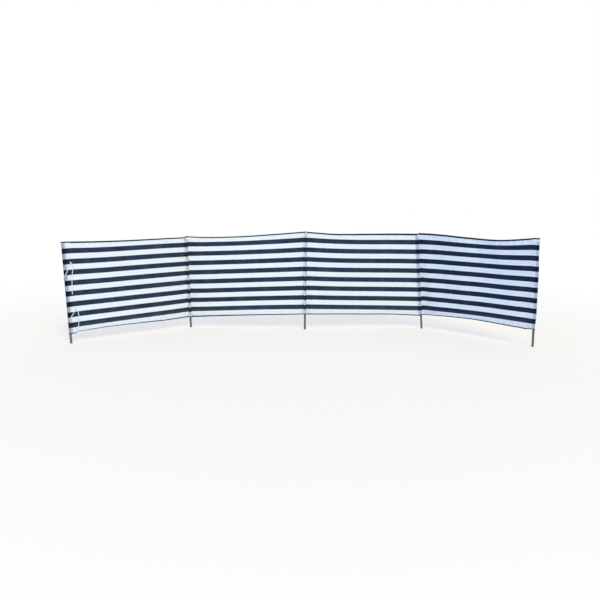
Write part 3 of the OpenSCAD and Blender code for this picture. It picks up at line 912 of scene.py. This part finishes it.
def tunnel(i):
    """The cloth of tunnel i with its seam's stitching, and what its tapes need to know of it."""
    shape, t, girth = tunnel_shape(i)
    h = tunnel_rows()
    # Painted shadow of the pole, seen through the cloth round the tunnel's front
    off_front = np.abs((t - 0.5) * girth + shadow_aside[i])
    painted_shadow = shadow_share[i] * (1 - smooth((off_front - shadow_from[i]) / shadow_fade[i]))
    pole_top = cloth_h - shadow_down[i]
    painted_shadow = painted_shadow[None, :] * (1 - smooth((h - pole_top + shadow_top_fade / 2) / shadow_top_fade))[:, None]
    seam = np.minimum(t, 1 - t) * girth
    edge = np.minimum(seam[None, :], np.minimum(h, cloth_h - h)[:, None])
    beside = ([right_slip[i - 1]] if i > 0 else []) + ([left_slip[i]] if i < 4 else [])
    slip = np.mean([by_height(pair, h / cloth_h) for pair in beside], axis=0)
    uv = np.stack(np.broadcast_arrays((t * girth)[None, :], (h - slip)[:, None]), -1)
    faces = grid_faces(len(h), len(t), flip=True)
    # A tunnel takes the painted shade of the bays beside it
    deep, white_painted_shade = (np.mean(bays[max(i - 1, 0) : i + 1]) for bays in (bay_navy_painted_shade, bay_white_painted_shade))
    facts = {"pole_painted_shadow": painted_shadow, "pucker": np.exp(-edge / tunnel_pucker),
             "deep": np.full(painted_shadow.shape, deep), "white_painted_shade": np.full(painted_shadow.shape, white_painted_shade),
             "layered": np.full(painted_shadow.shape, layer_share[i])}
    sleeve = piece_of(f"tunnel_cloth_{i + 1}", shape, faces, uv, facts)
    thicken(sleeve, cloth_t)
    set_on(sleeve, cloth_finish, "striped_cloth", f"tunnel_{i + 1}")
    # Seam stitching: one row on each wall of a tuck, two rows through a wide end hem
    outward = unit(np.cross(np.gradient(shape, axis=0), np.gradient(shape, axis=1)))
    for back in end_seam_rows if is_end(i) else tuck_seam_rows:
        for share in (back / girth, 1 - back / girth):
            k = int(round(share * ring_steps))
            k = min(max(k, 1), ring_steps - 1)
            facing = outward[:-lip_rows, k]
            row = shape[:-lip_rows, k] + facing * (cloth_t / 2 + stitch_lift)
            add_stitches("seam", row, facing)
    return sleeve, shape, girth, outward


def tunnel_tapes(i, shape, girth, outward):
    """The cap over tunnel i's closed lip and the hem round its open foot."""
    reach = seam_reach(i)
    tip = reach - lip_length(reach)
    x = np.linspace(tip - cap_past[1], reach - seam_insets[i], cap_steps)
    x = np.concatenate([[tip - cap_past[0]], x])
    lip = []
    for drop in (0.0, -cap_depth):
        ex, ey, ez = eared(i, x, np.zeros_like(x), np.full_like(x, drop))
        lip.append(spots(i, ex, ey, foot_hs[i] + cloth_h + lip_rises[i] + ez))
    down = unit(lip[1] - lip[0])
    side = unit(np.cross(np.gradient(lip[0], axis=0), down))
    cap = folded_tape(f"cap_tape_{i + 1}", lip[0], down, side, cap_legs[i], cloth_t + sliver,
                      [f"tunnel_cap_{i + 1}"], tips=(cap_pinch, 1.0), seed=cap_seed + i)
    t = np.linspace(0, 1, ring_steps + 1)
    keep = np.minimum(t, 1 - t) * girth >= seam_insets[i] * hem_inset_share
    foot = shape[0][keep]
    up = np.broadcast_to(places[i][:3, 2], foot.shape)
    hem = folded_tape(f"hem_tape_{i + 1}", foot, up, outward[0][keep], hem_leg, cloth_t / 2,
                      [f"tunnel_hem_{i + 1}"], seed=hem_seed + i)
    return [cap, hem]


for i in POLES:
    sleeve, shape, girth, outward = tunnel(i)
    tapes = tunnel_tapes(i, shape, girth, outward)

# Where the tie tapes are sewn on
for (x, out, z, _), _ in tie_roots.values():
    across = np.linspace(x - tie_sewn_half, x + tie_sewn_half, tie_sewn_steps)
    for up in (-tie_sewn_up, tie_sewn_up):
        line = spots(0, across, -(out + tie_t / 2 + stitch_lift), z + up)
        add_stitches("tie", line, np.broadcast_to(-places[0][:3, 1], line.shape))


def stitch_tree():
    """Lays one stitch on every point of a seam, along the seam and on its surface."""
    tree = bpy.data.node_groups.new("stitches", "GeometryNodeTree")
    sockets = {}
    for label, kind in (("Seam", "Geometry"), ("Stitch length", "Float"), ("Thread thickness", "Float"),
                        ("Thread", "Material")):
        socket = tree.interface.new_socket(label, in_out="INPUT", socket_type="NodeSocket" + kind)
        sockets[label] = socket.identifier
    tree.interface.new_socket("Stitches", in_out="OUTPUT", socket_type="NodeSocketGeometry")
    new, join = tree.nodes.new, tree.links.new
    given, result = new("NodeGroupInput"), new("NodeGroupOutput")
    bead = new("GeometryNodeMeshUVSphere")
    bead.inputs["Segments"].default_value = stitch_sides
    bead.inputs["Rings"].default_value = stitch_rings
    bead.inputs["Radius"].default_value = 0.5
    size = new("ShaderNodeCombineXYZ")
    join(given.outputs["Stitch length"], size.inputs[0])
    join(given.outputs["Thread thickness"], size.inputs[1])
    join(given.outputs["Thread thickness"], size.inputs[2])
    lay = new("GeometryNodeTransform")
    upright = new("FunctionNodeAlignRotationToVector")
    upright.axis = "Z"
    along = new("FunctionNodeAlignRotationToVector")
    along.axis, along.pivot_axis = "X", "Z"
    for node, label in ((upright, "facing"), (along, "way")):
        fact = new("GeometryNodeInputNamedAttribute")
        fact.data_type = "FLOAT_VECTOR"
        fact.inputs["Name"].default_value = label
        join(fact.outputs["Attribute"], node.inputs["Vector"])
    join(upright.outputs[0], along.inputs["Rotation"])
    place = new("GeometryNodeInstanceOnPoints")
    uneven = new("FunctionNodeRandomValue")
    uneven.data_type = "FLOAT"
    uneven.inputs[2].default_value, uneven.inputs[3].default_value = stitch_least, stitch_most
    uneven.inputs["Seed"].default_value = stitch_seed
    real, coat = new("GeometryNodeRealizeInstances"), new("GeometryNodeSetMaterial")
    even = new("GeometryNodeSetShadeSmooth")
    join(bead.outputs["Mesh"], lay.inputs["Geometry"])
    join(size.outputs[0], lay.inputs["Scale"])
    join(given.outputs["Seam"], place.inputs["Points"])
    join(lay.outputs[0], place.inputs["Instance"])
    join(along.outputs[0], place.inputs["Rotation"])
    join(uneven.outputs[1], place.inputs["Scale"])
    join(place.outputs[0], real.inputs[0])
    join(real.outputs[0], even.inputs["Geometry"])
    join(even.outputs[0], coat.inputs["Geometry"])
    join(given.outputs["Thread"], coat.inputs["Material"])
    join(coat.outputs[0], result.inputs[0])
    return tree, sockets


sewing, sewing_sockets = stitch_tree()


def sew(name, kind, thread_finish):
    """All the stitches of one kind as one piece."""
    rows = np.concatenate(stitch_rows[kind])
    seam = piece_of(name, rows[:, :3], [])
    for label, columns in (("way", slice(3, 6)), ("facing", slice(6, 9))):
        layer = seam.data.attributes.new(label, "FLOAT_VECTOR", "POINT")
        layer.data.foreach_set("vector", rows[:, columns].ravel())
    layer = seam.modifiers.new("sewing", "NODES")
    layer.node_group = sewing
    layer[sewing_sockets["Stitch length"]] = stitch_l
    layer[sewing_sockets["Thread thickness"]] = thread_d
    layer[sewing_sockets["Thread"]] = thread_finish
    graph = bpy.context.evaluated_depsgraph_get()
    mesh = bpy.data.meshes.new_from_object(seam.evaluated_get(graph))
    seam.modifiers.remove(layer)
    seam.data = mesh
    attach(seam, "root")
    return seam


sew("binding_stitches", "binding", navy_thread)
sew("seam_stitches", "seam", grey_thread)
sew("tie_stitches", "tie", white_thread)

# Poles keep their solids, and get their wood
for i in POLES:
    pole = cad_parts[f"pole_{i + 1}"]
    pole.data.materials.clear()
    pole.data.materials.append(wood_finish)


# Floor, backdrop and light: the floor goes over to plain white away from the middle, the sky's light is
# bluer in front than behind, and the key light stands in front to the right
white = (1, 1, 1, 1)
floor_half = 40.0
floor_colour = (0.95, 0.905, 0.83, 1)
white_from, white_to, least_white = 2.2, 5.0, 0.5
sky_light = (0.37, 0.583, 1.174, 1)
back_light = (0.90, 0.85, 0.75, 1)
back_way = (0.0, 0.86, 0.51)
key_turn, key_rise, key_spread = 25, 42, 24
key_strength, key_colour = 1.613, (1.0, 0.824, 0.141)


def seen_rays(tree):
    """1 for rays that show what is seen, straight or by gloss or glass, and 0 for the rest."""
    path = tree.nodes.new("ShaderNodeLightPath")
    seen = path.outputs["Is Camera Ray"]
    for kind in ("Is Glossy Ray", "Is Transmission Ray"):
        either = tree.nodes.new("ShaderNodeMath")
        either.operation = "MAXIMUM"
        tree.links.new(seen, either.inputs[0])
        tree.links.new(path.outputs[kind], either.inputs[1])
        seen = either.outputs[0]
    return seen


def floor_finish():
    material = bpy.data.materials.new("floor")
    material.use_nodes = True
    tree = material.node_tree
    tree.nodes.clear()
    new, join = tree.nodes.new, tree.links.new
    matt, glow = new("ShaderNodeBsdfDiffuse"), new("ShaderNodeEmission")
    both, out = new("ShaderNodeMixShader"), new("ShaderNodeOutputMaterial")
    matt.inputs["Color"].default_value = floor_colour
    glow.inputs["Color"].default_value = white
    place, far, fade = new("ShaderNodeTexCoord"), new("ShaderNodeVectorMath"), new("ShaderNodeMapRange")
    far.operation = "LENGTH"
    fade.interpolation_type = "SMOOTHSTEP"
    fade.inputs["From Min"].default_value, fade.inputs["From Max"].default_value = white_from, white_to
    fade.inputs["To Min"].default_value = least_white
    share = new("ShaderNodeMath")
    share.operation = "MULTIPLY"
    join(place.outputs["Object"], far.inputs[0])
    join(far.outputs["Value"], fade.inputs["Value"])
    join(fade.outputs[0], share.inputs[0])
    join(seen_rays(tree), share.inputs[1])
    join(share.outputs[0], both.inputs[0])
    join(matt.outputs[0], both.inputs[1])
    join(glow.outputs[0], both.inputs[2])
    join(both.outputs[0], out.inputs["Surface"])
    return material


floor_corners = [(x * floor_half, y * floor_half, 0) for x, y in ((-1, -1), (1, -1), (1, 1), (-1, 1))]
floor = piece_of("floor", floor_corners, [(0, 1, 2, 3)])
floor.data.materials.append(floor_finish())


def studio():
    world = bpy.data.worlds.new("studio")
    world.use_nodes = True
    tree = world.node_tree
    tree.nodes.clear()
    new, join = tree.nodes.new, tree.links.new
    sky, wall = new("ShaderNodeBackground"), new("ShaderNodeBackground")
    both, out = new("ShaderNodeMixShader"), new("ShaderNodeOutputWorld")
    way, toward = new("ShaderNodeTexCoord"), new("ShaderNodeVectorMath")
    toward.operation = "DOT_PRODUCT"
    toward.inputs[1].default_value = back_way
    behind, tint = new("ShaderNodeMapRange"), new("ShaderNodeMix")
    behind.interpolation_type = "SMOOTHSTEP"
    tint.data_type = "RGBA"
    tint.inputs[6].default_value, tint.inputs[7].default_value = sky_light, back_light
    wall.inputs["Color"].default_value = white
    join(way.outputs["Generated"], toward.inputs[0])
    join(toward.outputs["Value"], behind.inputs["Value"])
    join(behind.outputs["Result"], tint.inputs["Factor"])
    join(tint.outputs[2], sky.inputs["Color"])
    join(seen_rays(tree), both.inputs[0])
    join(sky.outputs[0], both.inputs[1])
    join(wall.outputs[0], both.inputs[2])
    join(both.outputs[0], out.inputs["Surface"])
    return world


bpy.context.scene.world = studio()

key = bpy.data.lights.new("key_light", "SUN")
key.energy = key_strength
key.color = key_colour
key.angle = math.radians(key_spread)
lamp = bpy.data.objects.new("key_light", key)
lamp.rotation_euler = (math.radians(90 - key_rise), 0, math.radians(key_turn))
bpy.context.scene.collection.objects.link(lamp)

bpy.context.scene.view_settings.view_transform = "Standard"
